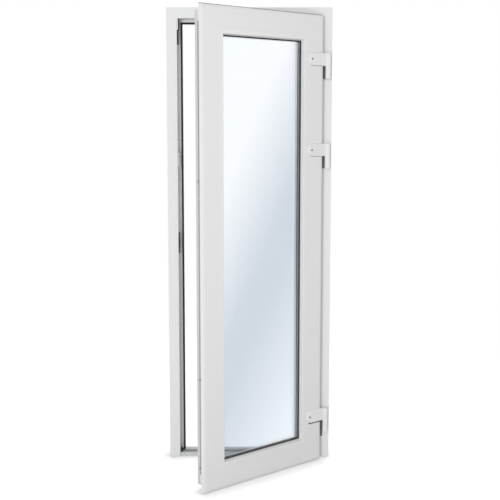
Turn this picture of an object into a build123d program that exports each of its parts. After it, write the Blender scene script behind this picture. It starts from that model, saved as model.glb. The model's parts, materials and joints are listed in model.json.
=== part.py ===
"""White PVC balcony door: a three-sided frame on a low aluminium threshold, and one glazed leaf.

The frame stands in the XZ plane, +Z up, with the room on the -Y side. The origin is the middle of the
threshold's underside. The leaf is drawn shut and then turned open about its hinges. Millimetres.
"""
import os

from build123d import *

# Frame profile: u runs in from the outer edge, v runs out from the room face
FRAME_WIDTH = 750
FRAME_HEIGHT = 2090
FRAME_DEPTH = 70
FRAME_FACE = 48          # room face, outer edge to rebate floor
REBATE_DEPTH = 56        # room face to the outer leg
LEG_HEIGHT = 22          # outer leg above the rebate floor
LEG_BEVEL = 4            # weathered edge of the outer leg, outside
FACE_ROUND = 3           # softened room-side edges
WALL = 2.8               # PVC outer walls
WEB = 1.6                # PVC walls between chambers

# Leaf profile: u runs in from the flange tip, v runs out from the leaf's room face
OVERLAP = 8              # flange over the frame's face
FLOOR_GAP = 4            # under the leaf's flange
LEAF_DEPTH = 70
FLANGE = 15              # flange thickness
FLANGE_REACH = 20        # flange tip to the leaf's edge
FLANGE_SLOPE = 12        # width of the sloped margin at the flange tip
FLANGE_FALL = 3          # how far that margin falls back
SEAL_GAP = 5             # flange back to the frame's face
STILE = 92               # flange tip to the glazing rebate
GROOVE_WIDTH = 16        # hardware groove in the leaf's edge
GROOVE_DEPTH = 3
GROOVE_MIDDLE = 45       # leaf's face to the groove's middle

# Glazing, from the room outwards
BEAD_WIDTH = 21
BEAD_DEPTH = 18
BEAD_SLOPE = 4
BEAD_JOINT = 0.8         # rounded edge that shows as a fine line against the stile
ROOM_SEAL = 4
PANE = 4
CAVITY = 16
OUTER_SEAL = 5
PANE_CLEARANCE = 8       # pane's edge to the rebate floor
SPACER_WIDTH = 16
SEAL_LIP = 6             # gasket past the bead or leg, onto the glass
SEAL_BED = 10            # gasket held behind the bead
GLAZING_LEG = 20         # outer leg past the rebate floor

# Seals between frame and leaf
FRAME_SEAL_WIDTH = 9
FRAME_SEAL_HEIGHT = 5.5
LEAF_SEAL_WIDTH = 6
LEAF_SEAL_HEIGHT = 4.5
LEAF_SEAL_INSET = 5

# Threshold rail, with its front face set back from the frame's room face
SILL_SETBACK = 10
SILL_TREAD = 18          # height of the front part
SILL_STEP = 22.5         # height of the part behind, just clear of the leaf
TREAD_DEPTH = 34         # front edge to the step
SILL_WALL = 2
SILL_ROUND = 1.5
TREAD_MARGIN = 4
TREAD_STRIP = 2.5
END_BLOCK_WIDTH = 12.5
END_POST = 5             # thin post of the block, up the rebate floor
END_POST_HEIGHT = 28
END_POST_DEPTH = 20
END_SETBACK = 2          # tread's front edge to the block

# Hinges: a barrel in front of the frame, a flag on the leaf above and a knuckle on the frame below
AXIS_OUT = 20.5          # flange tip to the axis
AXIS_FORWARD = 10        # leaf's face to the axis
BARREL_R = 12
PIN_R = 5
PIN_CLEARANCE = 0.05
PIN_REACH = 44           # pin into each knuckle
FLAG_HEIGHT = 56
FLAG_LENGTH = 110        # axis to the round end
FLAG_THICK = 8
KNUCKLE_HEIGHT = 57
KNUCKLE_GAP = 0.3
STEM_WIDTH = 16
PLATE_WIDTH = 33
PLATE_THICK = 1.5
PLATE_OUT = 9            # axis to the plate's outer edge
PLATE_TAIL = 13          # the bottom hinge's plate has a narrow tail below its knuckle
PLATE_TAIL_DROP = 32
SOFT_EDGE = 2
HINGE_BOTTOM = 190       # floor to the bottom hinge's split
HINGE_MIDDLE_DROP = 627  # leaf's top to the middle hinge's split
HINGE_TOP_DROP = 223     # leaf's top to the top hinge's split
OPEN_ANGLE = 38

# Lock side: keeps on the frame, a steel faceplate with cams in the leaf's groove
KEEP_SETBACK = 4         # room face to the keeps
KEEP_ROUND = 2
KEEP_SCREW_R = 1.8
KEEP_TOP = 50            # height of the white corner keep
KEEP_TOP_GAP = 1         # its upper end to the head
KEEP_TOP_WIDTH = 14
KEEP_TOP_THICK = 4.5
CATCH = 114              # height of the steel catch below and behind it
CATCH_WIDTH = 26
CATCH_FOOT = 6           # thickness of its lower part
CATCH_ARM = 8            # and of the arm behind the white keep, clear of the leaf's corner
KEEP_UPPER = 64
KEEP_UPPER_WIDTH = 24
KEEP_UPPER_THICK = 7
KEEP_UPPER_DROP = 677    # leaf's top to the upper keep's low end
STRIKE = 94
STRIKE_WIDTH = 32
STRIKE_THICK = 5
STRIKE_LOW = 973         # floor to the strike plate's low end
FACEPLATE_LOW = 70       # floor to the faceplate
FACEPLATE_DROP = 65      # leaf's top to the faceplate
CAM_LOW = 99
CAM_SECOND = 487
CAM_UPPER_DROP = 720     # leaf's top to the upper cam
CAM_R = 5.5
CAM_NECK_R = 3.5
CAM_REACH = 6

# Places that follow from the sizes above
HALF_WIDTH = FRAME_WIDTH / 2
FACE_Y = -FRAME_DEPTH / 2
LEG_Y = FACE_Y + REBATE_DEPTH
SILL_Y = FACE_Y + SILL_SETBACK
STEP_Y = SILL_Y + TREAD_DEPTH
SIGHT = FRAME_FACE + LEG_HEIGHT
LEAF_Y = FACE_Y - SEAL_GAP - FLANGE
LEAF_HALF = HALF_WIDTH - FRAME_FACE + OVERLAP
LEAF_TOP = FRAME_HEIGHT - FRAME_FACE + OVERLAP
AXIS_X = LEAF_HALF + AXIS_OUT
AXIS_Y = LEAF_Y - AXIS_FORWARD
GLASS_V = BEAD_DEPTH + ROOM_SEAL
OUTER_PANE_V = GLASS_V + PANE + CAVITY
GLAZING_LEG_V = OUTER_PANE_V + PANE + OUTER_SEAL
PANE_U = STILE + PANE_CLEARANCE
HEAD_FLOOR = FRAME_HEIGHT - FRAME_FACE
HINGES = {"bottom": HINGE_BOTTOM, "middle": LEAF_TOP - HINGE_MIDDLE_DROP, "top": LEAF_TOP - HINGE_TOP_DROP}
ROOM_TO_OUT = Vector(0, 1, 0)


def section(points, rounds=(), chambers=()):
    """A closed outline with some corners rounded and rectangular chambers left out."""
    face = Polygon(*points, align=None)
    for corner, radius in rounds:
        face = fillet(face.vertices().sort_by_distance(corner)[0], radius)
    for low_u, low_v, high_u, high_v in chambers:
        hole = Rectangle(high_u - low_u, high_v - low_v)
        face -= Pos((low_u + high_u) / 2, (low_v + high_v) / 2) * hole
    return face


def upright(points, low_y, high_y):
    """A prism on an outline in X and Z, from low_y to high_y."""
    plane = Plane(origin=(0, low_y, 0), x_dir=(1, 0, 0), z_dir=(0, -1, 0))
    return extrude(plane * Polygon(*points, align=None), amount=high_y - low_y, dir=ROOM_TO_OUT)


def bar(face, side, half_width, bottom, top, face_y):
    """One side of a rectangular frame: the section run along that side, still square at its ends."""
    inward = {"lock": (1, 0, 0), "hinge": (-1, 0, 0), "top": (0, 0, -1), "bottom": (0, 0, 1)}[side]
    left = side in ("lock", "top")
    high = side in ("hinge", "top")
    corner = Vector(-half_width if left else half_width, face_y, top if high else bottom)
    length = 2 * half_width if side in ("top", "bottom") else top - bottom
    run = Vector(*inward).cross(ROOM_TO_OUT)
    return extrude(Plane(origin=corner, x_dir=inward, z_dir=run) * face, amount=length, dir=run)


def mitred(face, side, half_width, bottom, top, face_y, square_foot=False):
    """One side of a frame, cut at 45 degrees where it meets the next side."""
    box = face.bounding_box()
    reach = box.max.X
    foot = 0 if square_foot else reach
    x, z = half_width - reach, (bottom + foot, top - reach)
    outlines = {
        "lock": [(-half_width, bottom), (-x, z[0]), (-x, z[1]), (-half_width, top)],
        "hinge": [(half_width, bottom), (x, z[0]), (x, z[1]), (half_width, top)],
        "top": [(-half_width, top), (-x, z[1]), (x, z[1]), (half_width, top)],
        "bottom": [(-half_width, bottom), (-x, z[0]), (x, z[0]), (half_width, bottom)],
    }
    cutter = upright(outlines[side], face_y + box.min.Y, face_y + box.max.Y)
    return bar(face, side, half_width, bottom, top, face_y) & cutter


def on_frame(face, side):
    return mitred(face, side, HALF_WIDTH, 0, FRAME_HEIGHT, FACE_Y, square_foot=True)


def on_leaf(face, side):
    return mitred(face, side, LEAF_HALF, FLOOR_GAP, LEAF_TOP, LEAF_Y)


def frame_section():
    """The L-shaped frame profile: room face, rebate floor and outer leg, with three chambers."""
    outline = [
        (0, 0),
        (FRAME_FACE, 0),
        (FRAME_FACE, REBATE_DEPTH),
        (SIGHT, REBATE_DEPTH),
        (SIGHT, FRAME_DEPTH - LEG_BEVEL),
        (SIGHT - 2 * LEG_BEVEL, FRAME_DEPTH),
        (0, FRAME_DEPTH),
    ]
    third = (REBATE_DEPTH - WALL) / 3
    chambers = [
        (WALL, WALL, FRAME_FACE - WALL, third - WEB / 2),
        (WALL, third + WEB / 2, FRAME_FACE - WALL, REBATE_DEPTH - WALL),
        (WALL, REBATE_DEPTH + WALL - WEB, SIGHT - 3 * LEG_BEVEL, FRAME_DEPTH - WALL),
    ]
    rounds = [((FRAME_FACE, 0), FACE_ROUND), ((0, 0), FACE_ROUND / 2)]
    return section(outline, rounds, chambers)


def leaf_section():
    """The Z-shaped leaf profile: flange, hardware groove, glazing rebate and outer glazing leg."""
    groove = (GROOVE_MIDDLE - GROOVE_WIDTH / 2, GROOVE_MIDDLE + GROOVE_WIDTH / 2)
    leg = STILE + GLAZING_LEG
    outline = [
        (0, FLANGE_FALL),
        (FLANGE_SLOPE, 0),
        (STILE, 0),
        (STILE, GLAZING_LEG_V),
        (leg, GLAZING_LEG_V),
        (leg, LEAF_DEPTH - LEG_BEVEL),
        (leg - 2 * LEG_BEVEL, LEAF_DEPTH),
        (FLANGE_REACH, LEAF_DEPTH),
        (FLANGE_REACH, groove[1]),
        (FLANGE_REACH + GROOVE_DEPTH, groove[1]),
        (FLANGE_REACH + GROOVE_DEPTH, groove[0]),
        (FLANGE_REACH, groove[0]),
        (FLANGE_REACH, FLANGE),
        (0, FLANGE),
    ]
    inner = FLANGE_REACH + GROOVE_DEPTH + WALL
    chambers = [
        (FLANGE_SLOPE, WALL, STILE - WALL, FLANGE - WALL),
        (inner, FLANGE - WALL + WEB, STILE - WALL, GLAZING_LEG_V - WALL),
        (inner, GLAZING_LEG_V - WALL + WEB, leg - 3 * LEG_BEVEL, LEAF_DEPTH - WALL),
    ]
    rounds = [((0, FLANGE_FALL), FACE_ROUND), ((0, FLANGE), FACE_ROUND / 2)]
    return section(outline, rounds, chambers)


def bead_section():
    """The snap-in bead: flush with the leaf's face, its reveal sloping back to the glass."""
    inner = STILE + BEAD_WIDTH
    outline = [
        (STILE, 0),
        (inner, 0),
        (inner + BEAD_SLOPE, BEAD_DEPTH),
        (STILE, BEAD_DEPTH),
    ]
    return section(outline, [((inner, 0), FACE_ROUND), ((STILE, 0), BEAD_JOINT)])


def ring(face, place, sides=("lock", "top", "hinge", "bottom")):
    """A seal or spacer that runs round several sides as one piece."""
    pieces = [place(face, side) for side in sides]
    return pieces[0].fuse(*pieces[1:]).clean()


def room_gasket():
    lip = STILE + BEAD_WIDTH + BEAD_SLOPE
    outline = [
        (lip - SEAL_BED, BEAD_DEPTH),
        (lip, BEAD_DEPTH),
        (lip + SEAL_LIP, GLASS_V),
        (lip - SEAL_BED, GLASS_V),
    ]
    return ring(section(outline), on_leaf)


def outer_gasket():
    leg = STILE + GLAZING_LEG
    low = OUTER_PANE_V + PANE
    outline = [
        (leg - SEAL_BED, low),
        (leg + SEAL_LIP, low),
        (leg, GLAZING_LEG_V),
        (leg - SEAL_BED, GLAZING_LEG_V),
    ]
    return ring(section(outline), on_leaf)


def spacer_bar():
    outline = [
        (PANE_U, GLASS_V + PANE),
        (PANE_U + SPACER_WIDTH, GLASS_V + PANE),
        (PANE_U + SPACER_WIDTH, OUTER_PANE_V),
        (PANE_U, OUTER_PANE_V),
    ]
    return ring(section(outline), on_leaf)


def pane(low_v):
    x = LEAF_HALF - PANE_U
    low, high = FLOOR_GAP + PANE_U, LEAF_TOP - PANE_U
    outline = [(-x, low), (x, low), (x, high), (-x, high)]
    return upright(outline, LEAF_Y + low_v, LEAF_Y + low_v + PANE)


def frame_gasket():
    """The black bulb seal on the outer leg, from the end blocks up and round the head."""
    tip = SIGHT - FRAME_SEAL_WIDTH
    crown = REBATE_DEPTH - FRAME_SEAL_HEIGHT
    outline = [
        (tip, REBATE_DEPTH),
        (tip, REBATE_DEPTH - FRAME_SEAL_HEIGHT / 2),
        (SIGHT - FRAME_SEAL_WIDTH / 2, crown),
        (SIGHT, crown),
        (SIGHT, REBATE_DEPTH),
    ]
    rounds = [((SIGHT, crown), FRAME_SEAL_HEIGHT / 4)]
    seal = ring(section(outline, rounds), on_frame, ("lock", "top", "hinge"))
    return seal - Pos(0, 0, SILL_STEP / 2) * Box(FRAME_WIDTH, 2 * FRAME_DEPTH, SILL_STEP)


def leaf_gasket():
    """The grey seal behind the flange, which closes on the frame's face."""
    outline = [
        (LEAF_SEAL_INSET, FLANGE),
        (LEAF_SEAL_INSET + LEAF_SEAL_WIDTH, FLANGE),
        (LEAF_SEAL_INSET + LEAF_SEAL_WIDTH / 2, FLANGE + LEAF_SEAL_HEIGHT),
        (LEAF_SEAL_INSET, FLANGE + LEAF_SEAL_HEIGHT / 2),
    ]
    return ring(section(outline), on_leaf)


def sill_run(face, half):
    """A section in Y and Z run along the threshold, half to each side of the middle."""
    plane = Plane(origin=(-half, 0, 0), x_dir=(0, 1, 0), z_dir=(1, 0, 0))
    return extrude(plane * face, amount=2 * half, dir=(1, 0, 0))


def threshold_rail():
    """The aluminium extrusion: a tread with a bed for its strip, and a higher step behind it."""
    front, back = SILL_Y, -FACE_Y
    bed = SILL_TREAD - TREAD_STRIP
    tread = [
        (front, 0),
        (STEP_Y, 0),
        (STEP_Y, SILL_TREAD),
        (STEP_Y - TREAD_MARGIN, SILL_TREAD),
        (STEP_Y - TREAD_MARGIN, bed),
        (front + TREAD_MARGIN, bed),
        (front + TREAD_MARGIN, SILL_TREAD),
        (front, SILL_TREAD),
    ]
    hollow = (front + SILL_WALL, SILL_WALL, STEP_Y - SILL_WALL, bed - SILL_WALL)
    tread = section(tread, [((front, SILL_TREAD), SILL_ROUND)], [hollow])
    step = [(STEP_Y, 0), (back, 0), (back, SILL_STEP), (STEP_Y, SILL_STEP)]
    hollow = (STEP_Y + SILL_WALL, SILL_WALL, back - SILL_WALL, SILL_STEP - SILL_WALL)
    step = section(step, [((STEP_Y, SILL_STEP), SILL_ROUND)], [hollow])
    return sill_run(tread, HALF_WIDTH - FRAME_FACE) + sill_run(step, HALF_WIDTH - SIGHT)


def tread_strip():
    low, high = SILL_Y + TREAD_MARGIN, STEP_Y - TREAD_MARGIN
    bed = SILL_TREAD - TREAD_STRIP
    strip = section([(low, bed), (high, bed), (high, SILL_TREAD), (low, SILL_TREAD)])
    return sill_run(strip, HALF_WIDTH - FRAME_FACE)


def end_block(sign):
    """Black block that fills the foot of a rebate: a pad on the tread, a plug beside the step and a post."""
    floor, sight = HALF_WIDTH - FRAME_FACE, HALF_WIDTH - SIGHT
    boxes = [
        (floor - END_BLOCK_WIDTH, SILL_Y + END_SETBACK, SILL_TREAD, STEP_Y, SILL_STEP),
        (sight, STEP_Y, 0, LEG_Y, SILL_STEP),
        (floor - END_POST, LEG_Y - END_POST_DEPTH, SILL_TREAD, LEG_Y, END_POST_HEIGHT),
    ]
    pieces = []
    for inner, low_y, low_z, high_y, high_z in boxes:
        corners = ((inner, low_z), (floor, low_z), (floor, high_z), (inner, high_z))
        pieces.append(upright([(sign * x, z) for x, z in corners], low_y, high_y))
    return pieces[0].fuse(*pieces[1:]).clean()


def keep_block(low, height, width, thick, setback):
    """A block on the lock jamb's rebate floor, with rounded corners."""
    block = Box(thick, width, height, align=(Align.MIN, Align.MIN, Align.MIN))
    block = fillet(block.edges().filter_by(Axis.X), KEEP_ROUND)
    return Pos(FRAME_FACE - HALF_WIDTH, FACE_Y + setback, low) * block


def slotted_keep(low, height, width, thick):
    """A keep with a slot for the bolt or cam and a screw hole above and below it."""
    floor, middle = FRAME_FACE - HALF_WIDTH, FACE_Y + KEEP_SETBACK + width / 2
    keep = keep_block(low, height, width, thick, KEEP_SETBACK)
    keep -= Pos(floor, middle, low + height / 2) * Box(3 * thick, width / 2, height / 3)
    for share in (1 / 6, 5 / 6):
        hole = Rot(0, 90, 0) * Cylinder(KEEP_SCREW_R, 3 * thick)
        keep -= Pos(floor, middle, low + height * share) * hole
    return keep


def corner_catch(low, middle, top):
    """The steel catch: a slotted foot below the white keep, and a thicker arm up behind it."""
    floor, front = FRAME_FACE - HALF_WIDTH, FACE_Y + KEEP_SETBACK
    low_corner = (Align.MIN, Align.MIN, Align.MIN)
    foot = Pos(floor, front, low) * Box(CATCH_FOOT, CATCH_WIDTH, middle - low, align=low_corner)
    slot = Box(3 * CATCH_FOOT, CATCH_WIDTH / 2, (middle - low) / 3)
    foot -= Pos(floor, front + CATCH_WIDTH / 2, (low + middle) / 2) * slot
    arm = Box(CATCH_ARM, CATCH_WIDTH, top - middle, align=low_corner)
    return foot + Pos(floor, front + KEEP_TOP_WIDTH, middle) * arm


def keeps():
    """A white corner keep with a steel catch below and behind it, an upper keep and the strike plate."""
    top = HEAD_FLOOR - KEEP_TOP_GAP
    middle = top - KEEP_TOP
    upper = LEAF_TOP - KEEP_UPPER_DROP
    return {
        "keep_top": keep_block(middle, KEEP_TOP, KEEP_TOP_WIDTH, KEEP_TOP_THICK, KEEP_SETBACK),
        "keep_top_catch": corner_catch(top - CATCH, middle, top),
        "keep_upper": slotted_keep(upper, KEEP_UPPER, KEEP_UPPER_WIDTH, KEEP_UPPER_THICK),
        "strike_plate": slotted_keep(STRIKE_LOW, STRIKE, STRIKE_WIDTH, STRIKE_THICK),
    }


def faceplate():
    """The steel strip that covers the bolt gear in the leaf's lock-side groove."""
    edge = -LEAF_HALF + FLANGE_REACH
    length = LEAF_TOP - FACEPLATE_DROP - FACEPLATE_LOW
    strip = Box(GROOVE_DEPTH, GROOVE_WIDTH, length, align=(Align.MIN, Align.CENTER, Align.MIN))
    return Pos(edge, LEAF_Y + GROOVE_MIDDLE, FACEPLATE_LOW) * strip


def cams():
    """Mushroom-headed cams standing on the faceplate."""
    edge = -LEAF_HALF + FLANGE_REACH
    neck = Cylinder(CAM_NECK_R, CAM_REACH, align=(Align.CENTER, Align.CENTER, Align.MIN))
    head = Pos(0, 0, CAM_REACH / 2) * Cylinder(
        CAM_R, CAM_REACH / 2, align=(Align.CENTER, Align.CENTER, Align.MIN)
    )
    cam = Rot(0, -90, 0) * (neck + head)
    heights = (CAM_LOW, CAM_SECOND, LEAF_TOP - CAM_UPPER_DROP)
    return [Pos(edge, LEAF_Y + GROOVE_MIDDLE, z) * cam for z in heights]


def barrel(low, height, outer_low):
    """A round knuckle with a softened outer end, low or high."""
    body = Cylinder(BARREL_R, height, align=(Align.CENTER, Align.CENTER, Align.MIN))
    end = body.edges().filter_by(GeomType.CIRCLE).sort_by(Axis.Z)[0 if outer_low else -1]
    return Pos(AXIS_X, AXIS_Y, low) * chamfer(end, SOFT_EDGE)


def pin_hole(radius, low, high):
    hole = Cylinder(radius, high - low, align=(Align.CENTER, Align.CENTER, Align.MIN))
    return Pos(AXIS_X, AXIS_Y, low) * hole


def leaf_flag(split):
    """The leaf's half of a hinge: a round-ended flag on the leaf's face and a knuckle."""
    low = split + KNUCKLE_GAP
    radius = FLAG_HEIGHT / 2
    plane = Plane(origin=(AXIS_X, LEAF_Y, low + radius), x_dir=(1, 0, 0), z_dir=(0, -1, 0))
    run = FLAG_LENGTH - radius
    outline = Pos(-run / 2, 0) * Rectangle(run, FLAG_HEIGHT) + Pos(-run, 0) * Circle(radius)
    flag = extrude(plane * outline, amount=FLAG_THICK, dir=-ROOM_TO_OUT)
    rim = flag.faces().sort_by(Axis.Y)[0].edges().filter_by(lambda edge: edge.center().X < AXIS_X - 1)
    flag = chamfer(rim, SOFT_EDGE) + barrel(low, FLAG_HEIGHT, outer_low=False)
    return flag - pin_hole(PIN_R + PIN_CLEARANCE, low, split + PIN_REACH + 1)


def frame_knuckle(split):
    """The frame's half of a hinge: a knuckle on a stem that stands on the steel plate."""
    low = split - KNUCKLE_HEIGHT
    depth = FACE_Y - PLATE_THICK - AXIS_Y
    stem = Box(STEM_WIDTH, depth, KNUCKLE_HEIGHT, align=(Align.CENTER, Align.MIN, Align.MIN))
    body = barrel(low, KNUCKLE_HEIGHT, outer_low=True) + Pos(AXIS_X, AXIS_Y, low) * stem
    return body - pin_hole(PIN_R, split - PIN_REACH, split)


def frame_plate(split, tail):
    """The dark steel plate screwed to the frame's face behind the knuckle, with a tail or without."""
    corner = (Align.MIN, Align.MAX, Align.MAX)
    plate = Box(PLATE_WIDTH, PLATE_THICK, KNUCKLE_HEIGHT, align=corner)
    if tail:
        plate += Box(PLATE_TAIL, PLATE_THICK, KNUCKLE_HEIGHT + PLATE_TAIL_DROP, align=corner)
    return Pos(AXIS_X + PLATE_OUT - PLATE_WIDTH, FACE_Y, split) * plate


def frame_pieces():
    profile = frame_section()
    pieces = {
        "frame_lock_jamb": on_frame(profile, "lock"),
        "frame_hinge_jamb": on_frame(profile, "hinge"),
        "frame_head": on_frame(profile, "top"),
        "frame_gasket": frame_gasket(),
        "threshold_rail": threshold_rail(),
        "threshold_tread_strip": tread_strip(),
        "threshold_end_block_lock": end_block(-1),
        "threshold_end_block_hinge": end_block(1),
    }
    pieces |= keeps()
    for name, split in HINGES.items():
        pieces[f"hinge_{name}_frame_knuckle"] = frame_knuckle(split)
        pieces[f"hinge_{name}_frame_plate"] = frame_plate(split, tail=name == "bottom")
        pieces[f"hinge_{name}_pin"] = pin_hole(PIN_R, split - PIN_REACH, split + PIN_REACH)
    return pieces


def leaf_pieces():
    profile, bead = leaf_section(), bead_section()
    names = {"lock": "lock_stile", "hinge": "hinge_stile", "top": "top_rail", "bottom": "bottom_rail"}
    pieces = {}
    for side, name in names.items():
        pieces[f"leaf_{name}"] = on_leaf(profile, side)
        pieces[f"glazing_bead_{side}"] = on_leaf(bead, side)
    pieces["glass_room_pane"] = pane(GLASS_V)
    pieces["glass_outer_pane"] = pane(OUTER_PANE_V)
    pieces["glass_spacer_bar"] = spacer_bar()
    pieces["glazing_gasket_room"] = room_gasket()
    pieces["glazing_gasket_outer"] = outer_gasket()
    pieces["leaf_gasket"] = leaf_gasket()
    pieces["lock_faceplate"] = faceplate()
    pieces["locking_cams"] = Compound(children=cams())
    for name, split in HINGES.items():
        pieces[f"hinge_{name}_leaf_flag"] = leaf_flag(split)
    return pieces


def opened(piece):
    """Turns a leaf piece from shut to its open position about the hinge axis."""
    return Pos(AXIS_X, AXIS_Y, 0) * Rot(0, 0, OPEN_ANGLE) * Pos(-AXIS_X, -AXIS_Y, 0) * piece


os.makedirs("parts", exist_ok=True)
for node, piece in frame_pieces().items():
    export_step(piece, f"parts/{node}.step")
for node, piece in leaf_pieces().items():
    export_step(opened(piece), f"parts/{node}.step")
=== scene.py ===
import json
import math

import bmesh
import bpy
from mathutils import Matrix, Vector


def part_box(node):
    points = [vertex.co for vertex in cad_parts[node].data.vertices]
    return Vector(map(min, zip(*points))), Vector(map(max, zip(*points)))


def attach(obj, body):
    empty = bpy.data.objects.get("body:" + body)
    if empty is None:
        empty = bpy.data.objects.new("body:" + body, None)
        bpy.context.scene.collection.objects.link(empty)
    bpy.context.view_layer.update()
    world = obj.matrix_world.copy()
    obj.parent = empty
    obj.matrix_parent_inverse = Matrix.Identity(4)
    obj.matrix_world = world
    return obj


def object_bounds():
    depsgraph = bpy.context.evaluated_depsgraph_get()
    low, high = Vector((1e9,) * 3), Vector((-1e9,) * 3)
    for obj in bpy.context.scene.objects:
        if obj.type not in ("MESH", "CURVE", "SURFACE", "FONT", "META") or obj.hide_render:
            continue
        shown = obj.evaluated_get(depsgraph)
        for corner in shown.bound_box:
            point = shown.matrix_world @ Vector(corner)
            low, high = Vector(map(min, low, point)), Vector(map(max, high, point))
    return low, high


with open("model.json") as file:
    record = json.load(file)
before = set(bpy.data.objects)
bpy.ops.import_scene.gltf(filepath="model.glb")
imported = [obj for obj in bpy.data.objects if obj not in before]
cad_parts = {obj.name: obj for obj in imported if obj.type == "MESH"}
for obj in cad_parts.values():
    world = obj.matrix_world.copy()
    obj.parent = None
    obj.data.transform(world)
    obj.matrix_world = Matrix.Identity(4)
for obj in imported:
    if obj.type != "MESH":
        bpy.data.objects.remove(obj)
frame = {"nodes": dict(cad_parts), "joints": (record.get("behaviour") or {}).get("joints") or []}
cad_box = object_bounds()
nodes = frame["nodes"]


# Frame profiles
# Two jambs and a head of hollow white PVC, extruded with a satin skin and faint lines along the run.
# They are mitred and hot-plate welded at the head, and the jambs stand square-cut on the floor.
PVC_WHITE = (0.79, 0.795, 0.80)
PVC_ROUGH = 0.38
PVC_SHEEN = 0.3


def streak_group():
    """Two noises on one vector: a fine grain for bump and a broad cloud for shade and gloss."""
    group = bpy.data.node_groups.new("streaks", "ShaderNodeTree")
    for name, kind in (("Vector", "Vector"), ("Fine", "Float"), ("Broad", "Float")):
        group.interface.new_socket(name, in_out="INPUT", socket_type=f"NodeSocket{kind}")
    for name in ("Grain", "Cloud"):
        group.interface.new_socket(name, in_out="OUTPUT", socket_type="NodeSocketFloat")
    entry = group.nodes.new("NodeGroupInput")
    leave = group.nodes.new("NodeGroupOutput")
    for size, detail, out in (("Fine", 3.0, "Grain"), ("Broad", 2.0, "Cloud")):
        noise = group.nodes.new("ShaderNodeTexNoise")
        noise.inputs["Detail"].default_value = detail
        group.links.new(entry.outputs["Vector"], noise.inputs["Vector"])
        group.links.new(entry.outputs[size], noise.inputs["Scale"])
        group.links.new(noise.outputs["Fac"], leave.inputs[out])
    return group


STREAKS = streak_group()


def surface(name, colour, rough, swing=0.06, shade=0.03, fine=900.0, broad=6.0, bump=0.05, relief=0.0002,
            run=None, stretch=30.0, turn=0.0, metal=0.0, sheen=0.5):
    """A material whose grain runs along one axis of the piece, turned with the leaf where it rides there.

    The broad cloud swings the gloss and shades the colour, and the fine grain gives the bump.
    """
    material = bpy.data.materials.new(name)
    material.use_nodes = True
    tree = material.node_tree
    shader = tree.nodes["Principled BSDF"]
    shader.inputs["Metallic"].default_value = metal
    shader.inputs["Specular IOR Level"].default_value = sheen
    place = tree.nodes.new("ShaderNodeTexCoord")
    turned = tree.nodes.new("ShaderNodeMapping")
    turned.vector_type = "TEXTURE"
    turned.inputs["Rotation"].default_value = (0, 0, turn)
    turned.inputs["Scale"].default_value = [stretch if axis == run else 1.0 for axis in "xyz"]
    streaks = tree.nodes.new("ShaderNodeGroup")
    streaks.node_tree = STREAKS
    streaks.inputs["Fine"].default_value = fine
    streaks.inputs["Broad"].default_value = broad
    tree.links.new(place.outputs["Object"], turned.inputs["Vector"])
    tree.links.new(turned.outputs["Vector"], streaks.inputs["Vector"])

    tint = tree.nodes.new("ShaderNodeMix")
    tint.data_type = "RGBA"
    tint.inputs["A"].default_value = (*[c * (1 - shade) for c in colour], 1)
    tint.inputs["B"].default_value = (*[min(1.0, c * (1 + shade)) for c in colour], 1)
    tree.links.new(streaks.outputs["Cloud"], tint.inputs["Factor"])
    tree.links.new(tint.outputs["Result"], shader.inputs["Base Color"])

    gloss = tree.nodes.new("ShaderNodeMapRange")
    gloss.inputs["To Min"].default_value = rough - swing
    gloss.inputs["To Max"].default_value = rough + swing
    tree.links.new(streaks.outputs["Cloud"], gloss.inputs["Value"])
    tree.links.new(gloss.outputs["Result"], shader.inputs["Roughness"])

    height = tree.nodes.new("ShaderNodeBump")
    height.inputs["Strength"].default_value = bump
    height.inputs["Distance"].default_value = relief
    tree.links.new(streaks.outputs["Grain"], height.inputs["Height"])
    tree.links.new(height.outputs["Normal"], shader.inputs["Normal"])
    return material


def dress(material, *names):
    """Gives CAD nodes a material."""
    for name in names:
        slots = nodes[name].data.materials
        slots.clear()
        slots.append(material)


FRAME_SKINS = {"pvc_jamb": ("z", "lock_jamb", "hinge_jamb"), "pvc_head": ("x", "head")}
for name, (run, *lengths) in FRAME_SKINS.items():
    skin = surface(name, PVC_WHITE, PVC_ROUGH, run=run, sheen=PVC_SHEEN)
    dress(skin, *[f"frame_{length}" for length in lengths])


# Frame welds
# At each head corner the two profiles are melted together, and the bead of melted PVC is scraped off.
# A flat scar a few millimetres wide is left along the mitre, on the room face and outside.
FRAME_FACE = 0.048
SCAR_WIDTH = 0.0026
SCAR_RISE = 0.00015
SCAR_SHADE = 0.97


def piece(name, mesh):
    """A new object at the origin from finished mesh data or a bmesh."""
    if isinstance(mesh, bmesh.types.BMesh):
        made = bpy.data.meshes.new(name)
        mesh.to_mesh(made)
        mesh.free()
        mesh = made
    made = bpy.data.objects.new(name, mesh)
    bpy.context.scene.collection.objects.link(made)
    return made


def fit(made, body, material=None):
    """Sets a new piece on its body, with its own material."""
    if material:
        made.data.materials.clear()
        made.data.materials.append(material)
    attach(made, body)


def scars(name, mitres, turn=Matrix()):
    """Thin flat strips along mitres, each given by its outer point, inner point and outward direction."""
    strips = bmesh.new()
    for outer, inner, out in mitres:
        along = inner - outer
        across = along.cross(out).normalized() * SCAR_WIDTH / 2
        base = [outer - across, outer + across, inner + across, inner - across]
        top = [p + out * SCAR_RISE + (outer + inner - 2 * p).normalized() * SCAR_RISE for p in base]
        ring = [strips.verts.new(p) for p in base + top]
        for corners in ((4, 5, 6, 7), (0, 1, 5, 4), (1, 2, 6, 5), (2, 3, 7, 6), (3, 0, 4, 7), (3, 2, 1, 0)):
            strips.faces.new([ring[i] for i in corners])
    bmesh.ops.recalc_face_normals(strips, faces=strips.faces)
    bmesh.ops.transform(strips, matrix=turn, verts=strips.verts)
    return piece(name, strips)


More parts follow.
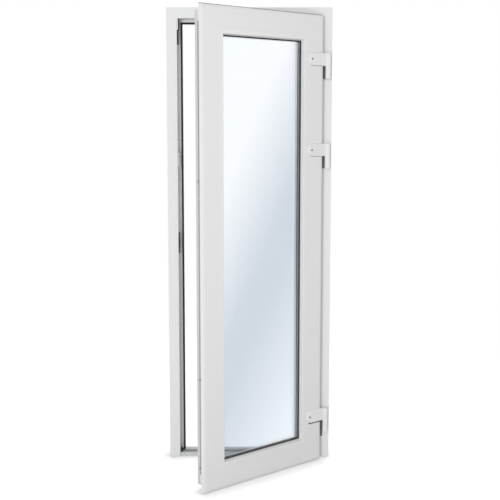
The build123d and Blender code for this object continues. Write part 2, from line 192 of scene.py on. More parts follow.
low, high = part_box("frame_head")
head_mitres = []
for side in (-1, 1):
    for y, out in ((low.y, Vector((0, -1, 0))), (high.y, Vector((0, 1, 0)))):
        depth = FRAME_FACE if y < 0 else high.z - low.z
        outer = Vector((side * high.x, y, high.z))
        inward = Vector((-side, 0, -1))
        head_mitres.append((outer + inward * SCAR_WIDTH, outer + inward * depth, out))
weld = surface("pvc_weld", [c * SCAR_SHADE for c in PVC_WHITE], rough=0.5, fine=1600, bump=0.2)
fit(scars("frame_welds", head_mitres), "frame", weld)


# Frame seal
# A black EPDM bulb pushed into the outer leg all round the rebate, where the shut leaf presses on it.
# It is one length, notched and bent at the two head corners.
rubber = surface("black_seal", (0.018, 0.018, 0.019), rough=0.62, shade=0.25, fine=2500, broad=25, bump=0.15)
dress(rubber, "frame_gasket")


# Threshold
# A low anodised aluminium extrusion between the jambs, screwed down to the floor.
# Its tread carries a dark plastic strip that breaks the path of the cold, with fine ribs for grip.
RIBS = 9
RIB_WIDTH = 0.0014
RIB_RISE = 0.0008
sill = surface("sill_aluminium", (0.60, 0.61, 0.62), rough=0.5, run="x", stretch=60, fine=1500, metal=0.35)
dress(sill, "threshold_rail")
tread = surface("tread_plastic", (0.33, 0.33, 0.335), rough=0.55, run="x", bump=0.1)
dress(tread, "threshold_tread_strip")


def node_tree(name, *sizes):
    """A new Geometry Nodes tree with named inputs, and the sockets that give them."""
    tree = bpy.data.node_groups.new(name, "GeometryNodeTree")
    tree.interface.new_socket("Geometry", in_out="INPUT", socket_type="NodeSocketGeometry")
    for size, kind in sizes:
        tree.interface.new_socket(size, in_out="INPUT", socket_type=f"NodeSocket{kind}")
    tree.interface.new_socket("Geometry", in_out="OUTPUT", socket_type="NodeSocketGeometry")
    return tree, tree.nodes.new("NodeGroupInput").outputs


def add(tree, kind, **inputs):
    """One node with its inputs set to a value or joined to another node's output."""
    node = tree.nodes.new(kind)
    for name, value in inputs.items():
        socket = node.inputs[name.replace("_", " ")]
        if isinstance(value, bpy.types.NodeSocket):
            tree.links.new(value, socket)
        else:
            socket.default_value = value
    return node


def close(tree, instances, material):
    """Ends a tree with real geometry in one material."""
    real = add(tree, "GeometryNodeRealizeInstances", Geometry=instances)
    dressed = add(tree, "GeometryNodeSetMaterial", Geometry=real.outputs[0], Material=material)
    add(tree, "NodeGroupOutput", Geometry=dressed.outputs[0])


def grown(name, mesh, tree, **sizes):
    """Runs a tree on a mesh and keeps the result as a plain mesh piece."""
    seed = piece(name + "_seed", mesh)
    modifier = seed.modifiers.new("grow", "NODES")
    modifier.node_group = tree
    for item in tree.interface.items_tree:
        if item.in_out == "INPUT" and item.name in sizes:
            modifier[item.identifier] = sizes[item.name]
    shown = seed.evaluated_get(bpy.context.evaluated_depsgraph_get())
    made = piece(name, bpy.data.meshes.new_from_object(shown))
    bpy.data.objects.remove(seed)
    return made


def rib_tree():
    """Ribs along X, set side by side across Y from a starting point."""
    tree, given = node_tree("tread_ribs", ("Start", "Vector"), ("Pitch", "Vector"), ("Rib", "Vector"),
                            ("Count", "Int"), ("Material", "Material"))
    rows = add(tree, "GeometryNodeMeshLine", Count=given["Count"], Start_Location=given["Start"],
               Offset=given["Pitch"])
    rib = add(tree, "GeometryNodeMeshCube", Size=given["Rib"])
    laid = add(tree, "GeometryNodeInstanceOnPoints", Points=rows.outputs[0], Instance=rib.outputs[0])
    close(tree, laid.outputs[0], given["Material"])
    return tree


low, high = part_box("threshold_tread_strip")
pitch = (high.y - low.y) / RIBS
ribs = grown(
    "threshold_tread_ribs", bpy.data.meshes.new("tread_seed"), rib_tree(), Count=RIBS, Material=tread,
    Start=(0, low.y + pitch / 2, high.z + RIB_RISE / 2), Pitch=(0, pitch, 0),
    Rib=(high.x - low.x, RIB_WIDTH, RIB_RISE),
)
fit(ribs, "frame")


# Threshold end blocks
# Moulded black blocks that close the foot of each rebate and keep water out of the corner.
# They are pushed in between the threshold and the jamb before the jamb is screwed up.
block = surface("black_block", (0.02, 0.02, 0.021), rough=0.5, shade=0.15, fine=1800, bump=0.12)
dress(block, "threshold_end_block_lock", "threshold_end_block_hinge")


# Keeps on the lock jamb
# A white corner keep with a dark steel catch, a zinc keep and a dark strike plate on the rebate floor.
# The leaf's cams and bolts draw in behind them when the door is locked. Two screws hold each metal one.
KEEP_PLATES = {"keep_top_catch": (0.026, 0.064), "keep_upper": (0.024, 0.064), "strike_plate": (0.032, 0.094)}
KEEP_SCREWS = (1 / 6, 5 / 6)  # shares of a plate's height
KEEP_SCREW_R = 0.0032
KEEP_SCREW_RISE = 0.0012
HEAD_SIDES = 20
HEAD_RIM = 0.8                # shares of a screw head's radius, as for its cross
CROSS_ARM = 0.6
CROSS_HALF = 0.125
CROSS_FLOOR = 0.3             # share of its height
dress(surface("keep_white", (0.76, 0.765, 0.77), rough=0.4, bump=0.1), "keep_top")
dark_steel = surface("catch_steel", (0.05, 0.05, 0.053), rough=0.6, run="z", fine=1500, shade=0.2, sheen=0.1)
dress(dark_steel, "keep_top_catch", "strike_plate")
zinc = surface("zinc_steel", (0.52, 0.52, 0.53), rough=0.35, run="z", fine=1500, broad=40, shade=0.08,
               metal=0.9)
dress(zinc, "keep_upper")


def screw_head():
    """A countersunk head of unit radius and height with a cross recess, closed all round."""
    head = bmesh.new()
    turns = [i * math.tau / HEAD_SIDES for i in range(HEAD_SIDES)]
    quarter = [(CROSS_ARM, -CROSS_HALF), (CROSS_ARM, CROSS_HALF), (CROSS_HALF, CROSS_HALF)]
    cross = [(x * c - y * s, x * s + y * c) for c, s in ((1, 0), (0, 1), (-1, 0), (0, -1)) for x, y in quarter]
    foot = [head.verts.new((math.cos(t), math.sin(t), 0)) for t in turns]
    rim = [head.verts.new((HEAD_RIM * math.cos(t), HEAD_RIM * math.sin(t), 1)) for t in turns]
    mouth = [head.verts.new((x, y, 1)) for x, y in cross]
    floor = [head.verts.new((x, y, CROSS_FLOOR)) for x, y in cross]
    border = []
    for lower, upper in ((foot, rim), (floor, mouth)):
        for i in range(len(lower)):
            j = (i + 1) % len(lower)
            head.faces.new((lower[i], lower[j], upper[j], upper[i]))
            border.append(head.edges.get((upper[i], upper[j])))
        head.faces.new(lower)
    bmesh.ops.triangle_fill(head, edges=border, use_beauty=True)
    bmesh.ops.recalc_face_normals(head, faces=head.faces)
    return piece("screw_head", head)


def screw_tree():
    """One head on each point of a mesh, turned to its facing."""
    tree, given = node_tree("screw_heads", ("Head", "Object"), ("Size", "Vector"), ("Material", "Material"))
    head = add(tree, "GeometryNodeObjectInfo", Object=given["Head"])
    facing = add(tree, "GeometryNodeInputNamedAttribute", Name="facing")
    facing.data_type = "FLOAT_VECTOR"
    turned = tree.nodes.new("FunctionNodeAlignRotationToVector")
    turned.axis = "Z"
    tree.links.new(facing.outputs["Attribute"], turned.inputs["Vector"])
    set_in = add(tree, "GeometryNodeInstanceOnPoints", Points=given["Geometry"],
                 Instance=head.outputs["Geometry"], Rotation=turned.outputs[0], Scale=given["Size"])
    close(tree, set_in.outputs[0], given["Material"])
    return tree


SCREWS = screw_tree()


def screws(name, spots, radius, rise, material):
    """Screw heads at points, each with the direction that it faces."""
    mesh = bpy.data.meshes.new(name + "_points")
    mesh.from_pydata([place for place, facing in spots], [], [])
    turned = mesh.attributes.new("facing", "FLOAT_VECTOR", "POINT")
    for value, (place, facing) in zip(turned.data, spots):
        value.vector = facing
    head = screw_head()
    made = grown(name, mesh, SCREWS, Head=head, Size=(radius, radius, rise), Material=material)
    bpy.data.objects.remove(head)
    return made


spots = []
for name, (width, height) in KEEP_PLATES.items():
    low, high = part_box(name)
    for share in KEEP_SCREWS:
        spots.append((Vector((high.x, low.y + width / 2, low.z + share * height)), (1, 0, 0)))
fit(screws("keep_screws", spots, KEEP_SCREW_R, KEEP_SCREW_RISE, zinc), "frame")


# Frame halves of the hinges
# A steel plate screwed to the jamb, dark from its coating and from painted shade, a white covered knuckle on
# it and a steel pin.
# The pin is pressed into the frame's knuckle and the leaf's knuckle drops over it from above.
HINGES = ("bottom", "middle", "top")
PLATE_SCREW_SIDE = 0.008
PLATE_SCREW_END = 0.012
PLATE_SCREW_R = 0.0036
PLATE_SCREW_RISE = 0.0012
cover = surface("hinge_cover", (0.80, 0.805, 0.81), rough=0.3, fine=1200, bump=0.04)
# the plate's dark grey is partly its own coating and partly painted shade for the narrow slot between the
# leaf's edge and the knuckle
plate = surface("hinge_plate", (0.20, 0.20, 0.203), rough=0.6, shade=0.15, sheen=0.2)
pin = surface("hinge_pin", (0.6, 0.6, 0.61), rough=0.25, run="z", metal=1.0)
spots = []
for name in HINGES:
    dress(cover, f"hinge_{name}_frame_knuckle")
    dress(plate, f"hinge_{name}_frame_plate")
    dress(pin, f"hinge_{name}_pin")
    low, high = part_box(f"hinge_{name}_frame_plate")
    for z in (low.z + PLATE_SCREW_END, high.z - PLATE_SCREW_END):
        spots.append((Vector((low.x + PLATE_SCREW_SIDE, low.y, z)), (0, -1, 0)))
fit(screws("hinge_plate_screws", spots, PLATE_SCREW_R, PLATE_SCREW_RISE, plate), "frame")


# Leaf profiles
# Two stiles and two rails of the same white PVC, in a wide section with a flange that laps the frame.
# All four corners are welded, and the weld is scraped flush on both faces.
joint = frame["joints"][0]
LEAF_TURN = math.radians(-joint["range_deg"][0])
AXIS = Vector(joint["pos_m"])
OPENED = Matrix.Translation(AXIS) @ Matrix.Rotation(LEAF_TURN, 4, "Z") @ Matrix.Translation(-AXIS)
STILE = 0.092
FLANGE_REACH = 0.020
FLANGE_SLOPE = 0.012
FLANGE = 0.015
EDGE_CLEAR = 0.0002
# grey of the painted shade in the leaf's edge behind the flange
EDGE_SHADE_GREY = (0.62, 0.62, 0.625)
LEAF_SKINS = {"pvc_stile": ("z", "lock_stile", "hinge_stile"), "pvc_rail": ("x", "top_rail", "bottom_rail")}


def shut_box(*names):
    """The box of leaf nodes with the door shut."""
    corners = [OPENED.inverted() @ v.co for name in names for v in nodes[name].data.vertices]
    return [Vector([pick(c[i] for c in corners) for i in range(3)]) for pick in (min, max)]


LEAF_LOW, LEAF_HIGH = shut_box("leaf_lock_stile", "leaf_hinge_stile")


def rebate_group():
    """A mask of the leaf's edge behind the flange, where shade is painted, on points measured with the door
    shut.
    """
    group = bpy.data.node_groups.new("rebate_edge", "ShaderNodeTree")
    group.interface.new_socket("Vector", in_out="INPUT", socket_type="NodeSocketVector")
    group.interface.new_socket("Mask", in_out="OUTPUT", socket_type="NodeSocketFloat")
    split = group.nodes.new("ShaderNodeSeparateXYZ")
    group.links.new(group.nodes.new("NodeGroupInput").outputs["Vector"], split.inputs[0])
    reach = FLANGE_REACH + EDGE_CLEAR
    sides = []
    for axis, limit, operation in (
        ("X", LEAF_LOW.x + reach, "LESS_THAN"), ("X", LEAF_HIGH.x - reach, "GREATER_THAN"),
        ("Z", LEAF_LOW.z + reach, "LESS_THAN"), ("Z", LEAF_HIGH.z - reach, "GREATER_THAN"),
        ("Y", LEAF_LOW.y + FLANGE + EDGE_CLEAR, "GREATER_THAN"),
    ):
        side = group.nodes.new("ShaderNodeMath")
        side.operation = operation
        side.inputs[1].default_value = limit
        group.links.new(split.outputs[axis], side.inputs[0])
        sides.append(side.outputs[0])
    mask = sides[0]
    for side, operation in zip(sides[1:], ("MAXIMUM", "MAXIMUM", "MAXIMUM", "MULTIPLY")):
        joined = group.nodes.new("ShaderNodeMath")
        joined.operation = operation
        group.links.new(mask, joined.inputs[0])
        group.links.new(side, joined.inputs[1])
        mask = joined.outputs[0]
    group.links.new(mask, group.nodes.new("NodeGroupOutput").inputs["Mask"])
    return group


REBATE_EDGE = rebate_group()


def paint_edge_shade(material):
    """Paints shade into the leaf's edge behind the flange, as a greyer colour in that recess."""
    tree = material.node_tree
    base = tree.nodes["Principled BSDF"].inputs["Base Color"]
    place = tree.nodes.new("ShaderNodeTexCoord")
    turned = tree.nodes.new("ShaderNodeMapping")
    turned.vector_type = "TEXTURE"
    turned.inputs["Location"].default_value = AXIS
    turned.inputs["Rotation"].default_value = (0, 0, LEAF_TURN)
    shut = tree.nodes.new("ShaderNodeVectorMath")
    shut.inputs[1].default_value = AXIS
    edge = tree.nodes.new("ShaderNodeGroup")
    edge.node_tree = REBATE_EDGE
    edge_shade_mix = tree.nodes.new("ShaderNodeMix")
    edge_shade_mix.data_type = "RGBA"
    edge_shade_mix.inputs["B"].default_value = (*EDGE_SHADE_GREY, 1)
    tree.links.new(place.outputs["Object"], turned.inputs["Vector"])
    tree.links.new(turned.outputs["Vector"], shut.inputs[0])
    tree.links.new(shut.outputs["Vector"], edge.inputs["Vector"])
    tree.links.new(edge.outputs["Mask"], edge_shade_mix.inputs["Factor"])
    tree.links.new(base.links[0].from_socket, edge_shade_mix.inputs["A"])
    tree.links.new(edge_shade_mix.outputs["Result"], base)
    return material


for name, (run, *ends) in LEAF_SKINS.items():
    skin = surface(name, PVC_WHITE, PVC_ROUGH, run=run, turn=LEAF_TURN, sheen=PVC_SHEEN)
    dress(paint_edge_shade(skin), *[f"leaf_{end}" for end in ends])

leaf_mitres = []
for side, x in ((1, LEAF_LOW.x), (-1, LEAF_HIGH.x)):
    for lift, z in ((1, LEAF_LOW.z), (-1, LEAF_HIGH.z)):
        inward = Vector((side, 0, lift))
        for y, start, out in ((LEAF_LOW.y, FLANGE_SLOPE, -1), (LEAF_HIGH.y, FLANGE_REACH, 1)):
            corner = Vector((x, y, z))
            leaf_mitres.append((corner + inward * start, corner + inward * STILE, Vector((0, out, 0))))
fit(scars("leaf_welds", leaf_mitres, OPENED), "leaf", weld)


# Glazing beads
# Thin white PVC strips mitred at the corners and snapped into the stiles and rails.
# They hold the glass unit against its outer seal and can be sprung out to change it.
BEAD_ROUGH = 0.36
BEAD_SKINS = {"pvc_bead_upright": ("z", "lock", "hinge"), "pvc_bead_level": ("x", "top", "bottom")}
for name, (run, *sides) in BEAD_SKINS.items():
    skin = surface(name, PVC_WHITE, BEAD_ROUGH, run=run, turn=LEAF_TURN)
    dress(skin, *[f"glazing_bead_{side}" for side in sides])


# Glass unit
# Two panes of clear float glass with an aluminium spacer bar between them, sealed round the edge.
# The bar is pierced along its middle so that the drying agent inside can take up damp.
PANES = ("glass_room_pane", "glass_outer_pane")
GLASS_TINT = (0.876, 0.915, 0.957)
GLASS_IOR = 1.52
GLASS_SHEEN = 0.75
WAVE_SCALE = 3.0
WAVE_BUMP = 0.02
WAVE_RISE = 0.002
SPACER_WIDTH = 0.016
PIERCE_EVERY = 0.012
PIERCE_SIZE = (0.0035, 0.0006, 0.0003)


def float_glass():
    """Clear glass, a little blue through both panes, with the faint waves of float glass."""
    material = bpy.data.materials.new("float_glass")
    material.use_nodes = True
    tree = material.node_tree
    shader = tree.nodes["Principled BSDF"]
    shader.inputs["Base Color"].default_value = (*GLASS_TINT, 1)
    shader.inputs["Specular IOR Level"].default_value = GLASS_SHEEN
    shader.inputs["Roughness"].default_value = 0.0
    shader.inputs["IOR"].default_value = GLASS_IOR
    shader.inputs["Transmission Weight"].default_value = 1.0
    place = tree.nodes.new("ShaderNodeTexCoord")
    wave = tree.nodes.new("ShaderNodeTexNoise")
    wave.inputs["Scale"].default_value = WAVE_SCALE
    height = tree.nodes.new("ShaderNodeBump")
    height.inputs["Strength"].default_value = WAVE_BUMP
    height.inputs["Distance"].default_value = WAVE_RISE
    tree.links.new(place.outputs["Object"], wave.inputs["Vector"])
    tree.links.new(wave.outputs["Fac"], height.inputs["Height"])
    tree.links.new(height.outputs["Normal"], shader.inputs["Normal"])
    return material


dress(float_glass(), *PANES)
for name in PANES:
    nodes[name].visible_shadow = False
dress(surface("spacer_aluminium", (0.32, 0.33, 0.34), rough=0.4, shade=0.06, metal=0.7), "glass_spacer_bar")


def pierce_tree():
    """Short slits at even spacing round a rectangle in X and Z."""
    tree, given = node_tree("spacer_slits", ("Width", "Float"), ("Height", "Float"), ("Every", "Float"),
                            ("Slit", "Vector"), ("Middle", "Vector"), ("Material", "Material"))
    loop = add(tree, "GeometryNodeCurvePrimitiveQuadrilateral", Width=given["Width"], Height=given["Height"])
    along = tree.nodes.new("GeometryNodeCurveToPoints")
    along.mode = "LENGTH"
    tree.links.new(loop.outputs[0], along.inputs["Curve"])
    tree.links.new(given["Every"], along.inputs["Length"])
    run = tree.nodes.new("FunctionNodeAlignRotationToVector")
    run.axis = "X"
    tree.links.new(along.outputs["Tangent"], run.inputs["Vector"])
    slit = add(tree, "GeometryNodeMeshCube", Size=given["Slit"])
    laid = add(tree, "GeometryNodeInstanceOnPoints", Points=along.outputs["Points"], Instance=slit.outputs[0],
               Rotation=run.outputs[0])
    stood = add(tree, "GeometryNodeTransform", Geometry=laid.outputs[0], Rotation=(math.pi / 2, 0, 0))
    moved = add(tree, "GeometryNodeTransform", Geometry=stood.outputs[0], Translation=given["Middle"])
    close(tree, moved.outputs[0], given["Material"])
    return tree


low, high = shut_box("glass_spacer_bar")
# the holes are drawn as dark slits on the bar: painted shade where their insides would show
slits = grown(
    "spacer_slits", bpy.data.meshes.new("slit_seed"), pierce_tree(), Every=PIERCE_EVERY, Slit=PIERCE_SIZE,
    Width=high.x - low.x - 2 * SPACER_WIDTH, Height=high.z - low.z - 2 * SPACER_WIDTH, Middle=(low + high) / 2,
    Material=surface("slit_painted_shade", (0.05, 0.05, 0.052), rough=0.7, shade=0.2),
)
slits.data.transform(OPENED)
fit(slits, "leaf")


# Glazing seals
# Black rubber wedges that hold the unit, one behind the beads and one on the outer leg.
# Their lips show as a thin dark line round the glass.
dress(rubber, "glazing_gasket_room", "glazing_gasket_outer")


# Leaf seal
# A grey lip seal in a groove behind the flange, which closes on the room face of the frame.
# It runs round all four sides. A thin dark fin stands over the top edge as painted shade along the flange's
# top edge.
TOP_SHADE_FIN = ((-0.0005, 0.0116), (0.0034, 0.0132), (0.0034, 0.0142), (-0.0005, 0.0147))
lip = surface("grey_seal", (0.35, 0.35, 0.355), rough=0.6, shade=0.08, fine=2500, bump=0.15)
dress(lip, "leaf_gasket")


def top_shade_fin():
    """A dark fin of painted shade along the top of the leaf, its section given as reach past the edge and
    depth from the face.
    """
    fin = bmesh.new()
    start, end = [
        [fin.verts.new((x, LEAF_LOW.y + deep, LEAF_HIGH.z + out)) for out, deep in TOP_SHADE_FIN]
        for x in (LEAF_LOW.x, LEAF_HIGH.x)
    ]
    for i in range(len(TOP_SHADE_FIN)):
        j = (i + 1) % len(TOP_SHADE_FIN)
        fin.faces.new((start[i], start[j], end[j], end[i]))
    fin.faces.new(start)
    fin.faces.new(end)
    bmesh.ops.recalc_face_normals(fin, faces=fin.faces)
    bmesh.ops.transform(fin, matrix=OPENED, verts=fin.verts)
    return piece("leaf_seal_fin", fin)


top_shade_skin = surface("top_shade_fin", (0.10, 0.10, 0.102), rough=0.6, shade=0.15, fine=2500, bump=0.15)
fit(top_shade_fin(), "leaf", top_shade_skin)


# Lock edge
# A zinc-plated steel faceplate over the bolt gear, screwed into the groove of the lock stile.
# Mushroom cams stand out of it and slide behind the keeps.
FACEPLATE_SCREWS = 9
FACEPLATE_END = 0.03
FACEPLATE_SCREW_R = 0.0035
FACEPLATE_SCREW_RISE = 0.001
steel = surface("faceplate_steel", (0.36, 0.36, 0.37), rough=0.4, run="z", fine=1500, broad=40, shade=0.1,
                metal=0.6)
dress(steel, "lock_faceplate", "locking_cams")
low, high = shut_box("lock_faceplate")
step = (high.z - low.z - 2 * FACEPLATE_END) / (FACEPLATE_SCREWS - 1)
out = OPENED.to_3x3() @ Vector((-1, 0, 0))
spots = []
for i in range(FACEPLATE_SCREWS):
    place = Vector((low.x, (low.y + high.y) / 2, low.z + FACEPLATE_END + i * step))
    spots.append((OPENED @ place, out))
faceplate_screws = screws("faceplate_screws", spots, FACEPLATE_SCREW_R, FACEPLATE_SCREW_RISE, zinc)
fit(faceplate_screws, "leaf")


# Leaf halves of the hinges
# White round-ended flags on the leaf's face, each with a knuckle that turns on the frame's pin.
# One dark screw shows near the round end. A thin dark strip under each flag is painted shadow cast by the
# flag.
FLAG_THICK = 0.008
FLAG_SCREW_IN = 0.0175
FLAG_SCREW_R = 0.0042
FLAG_SCREW_RISE = 0.0008
# how far the painted shadow reaches below each flag
SHADOW_STRIP_DROPS = {"bottom": 0.0072, "middle": 0.0012, "top": 0.0008}
SHADOW_STRIP_THICK = 0.0012
SHADOW_STRIP_TUCK = 0.001
SHADOW_STRIP_START, SHADOW_STRIP_END = 245, 270  # degrees round the flag's end, from its side to straight down
SHADOW_STRIP_STEPS = 12
STILE_LOW, STILE_HIGH = shut_box("leaf_hinge_stile")
out = OPENED.to_3x3() @ Vector((0, -1, 0))
spots = []
for name in HINGES:
    dress(cover, f"hinge_{name}_leaf_flag")
    low, high = shut_box(f"hinge_{name}_leaf_flag")
    place = Vector((low.x + FLAG_SCREW_IN, STILE_LOW.y - FLAG_THICK, (low.z + high.z) / 2))
    spots.append((OPENED @ place, out))


def flag_shadow_strips():
    """Dark strips of painted shadow under the flags: each follows its flag's outline and drops below it."""
    shadow_strip_mesh = bmesh.new()
    for name, drop in SHADOW_STRIP_DROPS.items():
        low, high = shut_box(f"hinge_{name}_leaf_flag")
        radius = (high.z - low.z) / 2
        centre = Vector((low.x + radius, 0, low.z + radius))
        edge = []
        for i in range(SHADOW_STRIP_STEPS + 1):
            turn = math.radians(SHADOW_STRIP_START + (SHADOW_STRIP_END - SHADOW_STRIP_START) * i / SHADOW_STRIP_STEPS)
            edge.append(centre + radius * Vector((math.cos(turn), 0, math.sin(turn))))
        edge.append(Vector((STILE_HIGH.x - FLANGE_SLOPE / 2, 0, low.z)))
        rows = []
        for y in (STILE_LOW.y - SHADOW_STRIP_THICK, STILE_LOW.y):
            for lift in (SHADOW_STRIP_TUCK, -drop):
                rows.append([shadow_strip_mesh.verts.new((p.x, y, p.z + lift)) for p in edge])
        upper, lower, upper_back, lower_back = rows
        for a, b in ((upper, lower), (lower, lower_back), (lower_back, upper_back), (upper_back, upper)):
            for i in range(len(edge) - 1):
                shadow_strip_mesh.faces.new((a[i], a[i + 1], b[i + 1], b[i]))
        for i in (0, -1):
            shadow_strip_mesh.faces.new((upper[i], lower[i], lower_back[i], upper_back[i]))
    bmesh.ops.recalc_face_normals(shadow_strip_mesh, faces=shadow_strip_mesh.faces)
    bmesh.ops.transform(shadow_strip_mesh, matrix=OPENED, verts=shadow_strip_mesh.verts)
    return piece("hinge_flag_feet", shadow_strip_mesh)


# dark colour of the painted shadow under the flags
flag_shadow_dark = surface("flag_painted_shadow", (0.10, 0.10, 0.102), rough=0.5, shade=0.2, sheen=0.2)
fit(flag_shadow_strips(), "leaf", flag_shadow_dark)
black_screw = surface("flag_screw", (0.02, 0.02, 0.021), rough=0.5, shade=0.2, metal=0.4)
fit(screws("hinge_flag_screws", spots, FLAG_SCREW_R, FLAG_SCREW_RISE, black_screw), "leaf")


# Studio
# A pale floor that fades into white, a large soft lamp from the left of the camera, weak lamps from the right
# and from behind, and an even surround. A tall card to the right, seen only in reflections, gives the glass
# its slanting light.
FLOOR_R = 3.0
FLOOR_SIDES = 96
FLOOR_SINK = 0.0005
FLOOR_FADE = (0.3, 0.9)  # shares of its radius
FLOOR_GREY = 0.68
FLOOR_LIFT = 0.62
CONTACT = 0.105
CONTACT_TILT = (0.28, 0.68, 0.68)
CONTACT_RANGE = (0.4, 0.92)
CONTACT_DARK = 0.35
SURROUND = 0.65
KEY_WATTS = 107
FILL_WATTS = 4
BACK_WATTS = 16


def fading_floor():
    """Matt grey lifted to white for the camera, with a painted contact shadow near the door from an occlusion
    test, and clear towards the rim.
    """
    material = bpy.data.materials.new("studio_floor")
    material.use_nodes = True
    tree = material.node_tree
    tree.nodes.clear()
    place = tree.nodes.new("ShaderNodeTexCoord")
    far = tree.nodes.new("ShaderNodeVectorMath")
    far.operation = "LENGTH"
    fade = tree.nodes.new("ShaderNodeMapRange")
    for name, share in zip(("From Min", "From Max"), FLOOR_FADE):
        fade.inputs[name].default_value = share * FLOOR_R
    matt = tree.nodes.new("ShaderNodeBsdfDiffuse")
    matt.inputs["Color"].default_value = (FLOOR_GREY, FLOOR_GREY, FLOOR_GREY, 1)
    path = tree.nodes.new("ShaderNodeLightPath")
    glow = tree.nodes.new("ShaderNodeEmission")
    lift = tree.nodes.new("ShaderNodeMath")
    lift.operation = "MULTIPLY"
    lift.inputs[1].default_value = FLOOR_LIFT
    near = tree.nodes.new("ShaderNodeAmbientOcclusion")
    near.inputs["Distance"].default_value = CONTACT
    tilt = tree.nodes.new("ShaderNodeCombineXYZ")
    for axis, value in zip("XYZ", CONTACT_TILT):
        tilt.inputs[axis].default_value = value
    tree.links.new(tilt.outputs["Vector"], near.inputs["Normal"])
    shade = tree.nodes.new("ShaderNodeMapRange")
    for name, value in zip(("From Min", "From Max"), CONTACT_RANGE):
        shade.inputs[name].default_value = value
    shade.inputs["To Min"].default_value = CONTACT_DARK
    held = tree.nodes.new("ShaderNodeMath")
    held.operation = "MULTIPLY"
    lit = tree.nodes.new("ShaderNodeAddShader")
    clear = tree.nodes.new("ShaderNodeBsdfTransparent")
    mix = tree.nodes.new("ShaderNodeMixShader")
    out = tree.nodes.new("ShaderNodeOutputMaterial")
    tree.links.new(place.outputs["Object"], far.inputs[0])
    tree.links.new(far.outputs["Value"], fade.inputs["Value"])
    tree.links.new(fade.outputs["Result"], mix.inputs["Fac"])
    tree.links.new(path.outputs["Is Camera Ray"], lift.inputs[0])
    tree.links.new(lift.outputs[0], held.inputs[0])
    tree.links.new(near.outputs["AO"], shade.inputs["Value"])
    tree.links.new(shade.outputs["Result"], held.inputs[1])
    tree.links.new(held.outputs[0], glow.inputs["Strength"])
    tree.links.new(matt.outputs[0], lit.inputs[0])
    tree.links.new(glow.outputs[0], lit.inputs[1])
    tree.links.new(lit.outputs[0], mix.inputs[1])
    tree.links.new(clear.outputs[0], mix.inputs[2])
    tree.links.new(mix.outputs[0], out.inputs["Surface"])
    return material


disc = bmesh.new()
bmesh.ops.create_circle(disc, cap_ends=True, segments=FLOOR_SIDES, radius=FLOOR_R)
floor = piece("studio_floor", disc)
floor.data.materials.append(fading_floor())
floor.location.z = cad_box[0].z - FLOOR_SINK
floor.visible_glossy = False
floor.visible_transmission = False

CARD_X = 3.0
CARD_MIDDLE = (-1.1, 0.65)
CARD_HALF = (2.2, 2.9)
CARD_FADE = 1.1
CARD_STRENGTH = 2.24
CARD_STOPS = ((0.05, (0.77, 0.715, 0.66)), (0.44, (0, 0, 0)), (0.56, (0, 0, 0)), (0.87, (1.0, 0.857, 0.73)))
DARK_Y, DARK_Z = -0.732, 0.775
DARK_SLOPE = 2.36
DARK_SPREAD = 2.0


def slanting_card():
    """Light above and below a dark line that climbs towards the door, fading out at the card's borders."""
    material = bpy.data.materials.new("reflection_card")
    material.use_nodes = True
    tree = material.node_tree
    tree.nodes.clear()
    place = tree.nodes.new("ShaderNodeTexCoord")
    split = tree.nodes.new("ShaderNodeSeparateXYZ")
    slope = tree.nodes.new("ShaderNodeMath")
    slope.operation = "MULTIPLY_ADD"
    slope.inputs[1].default_value = -DARK_SLOPE
    slope.inputs[2].default_value = DARK_SLOPE * DARK_Y - DARK_Z
    total = tree.nodes.new("ShaderNodeMath")
    spread = tree.nodes.new("ShaderNodeMapRange")
    spread.inputs["From Min"].default_value = -DARK_SPREAD
    spread.inputs["From Max"].default_value = DARK_SPREAD
    ramp = tree.nodes.new("ShaderNodeValToRGB")
    stops = ramp.color_ramp.elements
    for stop, (position, colour) in zip(stops, (CARD_STOPS[0], CARD_STOPS[-1])):
        stop.position, stop.color = position, (*colour, 1)
    for position, colour in CARD_STOPS[1:-1]:
        stops.new(position).color = (*colour, 1)
    glow = tree.nodes.new("ShaderNodeEmission")
    glow.inputs["Strength"].default_value = CARD_STRENGTH
    border = []
    for axis, middle, half in zip("YZ", CARD_MIDDLE, CARD_HALF):
        off = tree.nodes.new("ShaderNodeMath")
        off.operation = "SUBTRACT"
        off.inputs[1].default_value = middle
        far = tree.nodes.new("ShaderNodeMath")
        far.operation = "ABSOLUTE"
        fade = tree.nodes.new("ShaderNodeMapRange")
        fade.interpolation_type = "SMOOTHSTEP"
        fade.inputs["From Min"].default_value = half - CARD_FADE
        fade.inputs["From Max"].default_value = half
        tree.links.new(split.outputs[axis], off.inputs[0])
        tree.links.new(off.outputs[0], far.inputs[0])
        tree.links.new(far.outputs[0], fade.inputs["Value"])
        border.append(fade.outputs["Result"])
    faded = tree.nodes.new("ShaderNodeMath")
    faded.operation = "MAXIMUM"
    clear = tree.nodes.new("ShaderNodeBsdfTransparent")
    mix = tree.nodes.new("ShaderNodeMixShader")
    for socket, edge in zip(faded.inputs, border):
        tree.links.new(edge, socket)
    tree.links.new(faded.outputs[0], mix.inputs["Fac"])
    tree.links.new(glow.outputs[0], mix.inputs[1])
    tree.links.new(clear.outputs[0], mix.inputs[2])
    out = tree.nodes.new("ShaderNodeOutputMaterial")
    tree.links.new(place.outputs["Object"], split.inputs[0])
    tree.links.new(split.outputs["Y"], slope.inputs[0])
    tree.links.new(slope.outputs[0], total.inputs[0])
    tree.links.new(split.outputs["Z"], total.inputs[1])
    tree.links.new(total.outputs[0], spread.inputs["Value"])
    tree.links.new(spread.outputs["Result"], ramp.inputs["Fac"])
    tree.links.new(ramp.outputs["Color"], glow.inputs["Color"])
    tree.links.new(mix.outputs[0], out.inputs["Surface"])
    return material


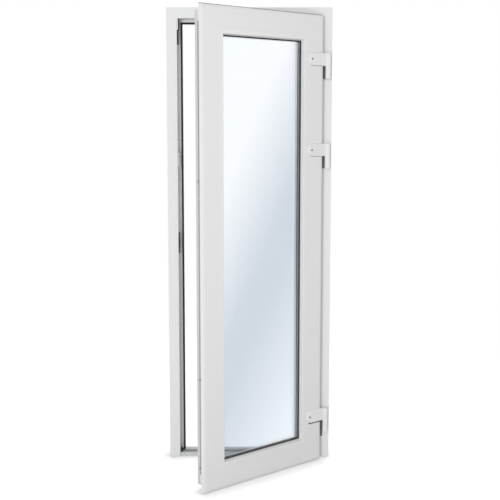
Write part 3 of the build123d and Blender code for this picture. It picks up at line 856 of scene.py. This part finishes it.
sheet = bmesh.new()
sheet.faces.new([
    sheet.verts.new((CARD_X, CARD_MIDDLE[0] + a * CARD_HALF[0], CARD_MIDDLE[1] + b * CARD_HALF[1]))
    for a, b in ((-1, -1), (1, -1), (1, 1), (-1, 1))
])
card = piece("reflection_card", sheet)
card.data.materials.append(slanting_card())
for ray in ("camera", "diffuse", "volume_scatter", "shadow"):
    setattr(card, f"visible_{ray}", False)


def soft_lamp(name, place, target, width, height, watts):
    """An oval lamp turned to a point, seen neither by the camera nor in reflections nor through the glass."""
    lamp = bpy.data.lights.new(name, "AREA")
    lamp.shape = "ELLIPSE"
    lamp.size = width
    lamp.size_y = height
    lamp.energy = watts
    held = bpy.data.objects.new(name, lamp)
    held.location = place
    held.rotation_euler = (Vector(target) - Vector(place)).to_track_quat("-Z", "Y").to_euler()
    for ray in ("camera", "glossy", "transmission"):
        setattr(held, f"visible_{ray}", False)
    bpy.context.scene.collection.objects.link(held)


soft_lamp("key", (-1.4, -4.85, 1.45), (0.0, -0.2, 0.9), width=1.6, height=4.0, watts=KEY_WATTS)
soft_lamp("fill", (2.9, -4.2, 1.4), (0.1, -0.2, 1.05), width=1.8, height=3.0, watts=FILL_WATTS)
soft_lamp("back", (-0.6, 3.0, 1.4), (0.0, 0.0, 1.0), width=1.6, height=2.4, watts=BACK_WATTS)


def even_surround():
    """White for the camera, in reflections and through the glass, and a weaker light on everything else."""
    world = bpy.data.worlds.new("surround")
    world.use_nodes = True
    tree = world.node_tree
    path = tree.nodes.new("ShaderNodeLightPath")
    white = path.outputs["Is Camera Ray"]
    for ray in ("Is Glossy Ray", "Is Transmission Ray"):
        either = tree.nodes.new("ShaderNodeMath")
        either.operation = "MAXIMUM"
        tree.links.new(white, either.inputs[0])
        tree.links.new(path.outputs[ray], either.inputs[1])
        white = either.outputs[0]
    level = tree.nodes.new("ShaderNodeMapRange")
    level.inputs["To Min"].default_value = SURROUND
    level.inputs["To Max"].default_value = 1.0
    sky = tree.nodes["Background"]
    sky.inputs["Color"].default_value = (1, 1, 1, 1)
    tree.links.new(white, level.inputs["Value"])
    tree.links.new(level.outputs["Result"], sky.inputs["Strength"])
    return world


bpy.context.scene.world = even_surround()
bpy.context.scene.view_settings.view_transform = "Standard"


# Camera
# Set square to the frame at eye height, a little more than four metres back, tipped slightly down.
# The rest of the framing is lens shift, so the uprights stay nearly parallel.
IMAGE = 500
FOCAL_PIXELS = 889.9
SENSOR = 36
LENS_SHIFT = -0.0626
CAMERA_PLACE = (0.0034, -4.1166, 1.5626)
CAMERA_TIP = 6
camera_data = bpy.data.cameras.new("camera")
camera_data.sensor_width = SENSOR
camera_data.lens = FOCAL_PIXELS / IMAGE * SENSOR
camera_data.shift_y = LENS_SHIFT
camera = bpy.data.objects.new("camera", camera_data)
camera.location = CAMERA_PLACE
camera.rotation_euler = (math.radians(90 - CAMERA_TIP), 0, 0)
bpy.context.scene.collection.objects.link(camera)
bpy.context.scene.camera = camera
